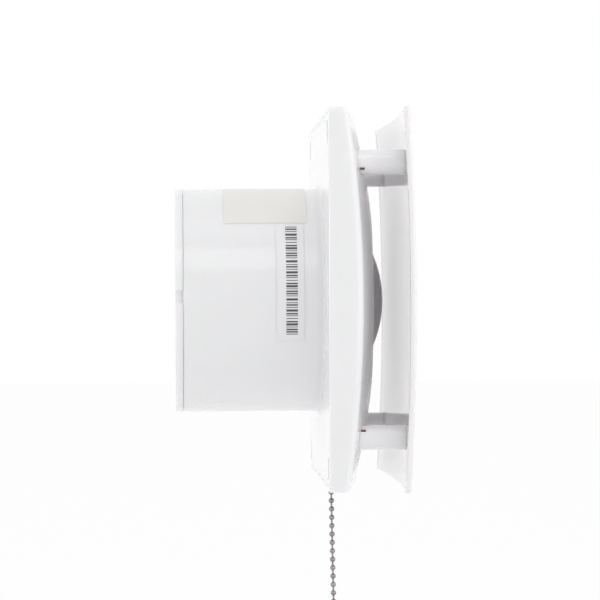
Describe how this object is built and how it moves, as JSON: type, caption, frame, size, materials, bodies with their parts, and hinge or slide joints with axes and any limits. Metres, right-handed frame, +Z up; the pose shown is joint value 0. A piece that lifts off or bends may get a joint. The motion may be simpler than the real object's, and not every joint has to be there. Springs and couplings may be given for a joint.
{
  "type": "exhaust fan",
  "caption": "Bathroom exhaust fan: domed square cover, floating front panel on posts, round duct spigot with a back-draught damper, axial impeller and motor, pull-chain switch.",
  "frame": {"origin": "where the duct axis crosses the wall plane, on the back of the base", "axes": "+X along the duct axis into the room, -X into the duct, +Z up, the mains terminals on the +Y side"},
  "size_m": [0.1028, 0.1608, 0.302],
  "materials": {
    "white_plastic": "smooth moulded white plastic with a slight sheen",
    "panel_white": "glossy moulded white plastic",
    "steel": "bright zinc or nickel plated steel",
    "core_steel": "varnished steel laminations",
    "alloy": "die-cast alloy, as cast",
    "copper": "enamelled copper wire",
    "bronze": "sintered bronze",
    "brass": "plain brass",
    "grey_plastic": "matt moulded plastic",
    "cream_plastic": "matt moulded plastic",
    "board_green": "glass-fibre board with green solder resist",
    "blue_cover": "matt plastic",
    "brown_cover": "matt plastic",
    "black_plastic": "matt plastic"
  },
  "bodies": {
    "housing": {"base": "white_plastic", "motor_frame": "white_plastic", "front_cover": "white_plastic", "inlet_guard": "white_plastic", "guard_cap": "white_plastic", "post_1": "white_plastic", "post_2": "white_plastic", "post_3": "white_plastic", "post_4": "white_plastic", "damper_ring": "white_plastic", "chain_guide": "white_plastic", "motor_screw_1": "steel", "motor_screw_2": "steel", "damper_axle": "steel", "clamp_screw_1": "steel", "clamp_screw_2": "steel", "board_screw_1": "steel", "board_screw_2": "steel", "switch_spring": "steel", "cover_screw_1": "steel", "cover_screw_2": "steel", "stator_core": "core_steel", "front_bracket": "alloy", "rear_bracket": "alloy", "winding_upper": "copper", "winding_lower": "copper", "front_bearing": "bronze", "rear_bearing": "bronze", "terminal_screw_1": "brass", "terminal_screw_2": "brass", "terminal_screw_3": "brass", "terminal_block": "grey_plastic", "cable_clamp": "grey_plastic", "switch_body": "grey_plastic", "switch_lid": "grey_plastic", "humidity_sensor": "cream_plastic", "control_board": "board_green", "trimmer_body_1": "blue_cover", "trimmer_body_2": "blue_cover", "lead_switched": "blue_cover", "board_capacitor": "brown_cover", "lead_supply": "brown_cover", "board_relay": "black_plastic"},
    "rotor_set": {"rotor": "alloy", "motor_shaft": "steel", "impeller": "white_plastic", "impeller_clip": "steel"},
    "upper_flap": {"damper_flap_upper": "white_plastic", "damper_spring_upper": "steel"},
    "lower_flap": {"damper_flap_lower": "white_plastic", "damper_spring_lower": "steel"},
    "switch_pull": {"switch_slider": "cream_plastic", "pull_chain": "steel", "chain_pull": "white_plastic"},
    "panel": {"front_panel": "panel_white"},
    "knob_1": {"trimmer_knob_1": "cream_plastic"},
    "knob_2": {"trimmer_knob_2": "cream_plastic"}
  },
  "joints": [
    {"name": "rotor_spin", "type": "hinge", "parent": "housing", "child": "rotor_set", "pos_m": [0, 0, 0], "axis": [1, 0, 0], "continuous": true},
    {"name": "upper_flap_hinge", "type": "hinge", "parent": "housing", "child": "upper_flap", "pos_m": [-0.0595, 0, 0], "axis": [0, -1, 0], "range_deg": [0, 70], "stiffness_Nm_per_rad": 0.002, "springref_deg": -30},
    {"name": "lower_flap_hinge", "type": "hinge", "parent": "housing", "child": "lower_flap", "pos_m": [-0.0595, 0, 0], "axis": [0, 1, 0], "range_deg": [0, 70], "stiffness_Nm_per_rad": 0.002, "springref_deg": -30},
    {"name": "switch_slide", "type": "slide", "parent": "housing", "child": "switch_pull", "axis": [0, 0, -1], "range_m": [0, 0.005], "stiffness_N_per_m": 150, "springref_m": -0.004, "deforming": ["switch_spring"]},
    {"name": "panel_slide", "type": "slide", "parent": "housing", "child": "panel", "axis": [1, 0, 0], "range_m": [0, 0.02]},
    {"name": "knob_1_turn", "type": "hinge", "parent": "housing", "child": "knob_1", "pos_m": [0.0095, -0.06, -0.026], "axis": [1, 0, 0], "range_deg": [-135, 135]},
    {"name": "knob_2_turn", "type": "hinge", "parent": "housing", "child": "knob_2", "pos_m": [0.0095, -0.06, -0.017], "axis": [1, 0, 0], "range_deg": [-135, 135]}
  ]
}
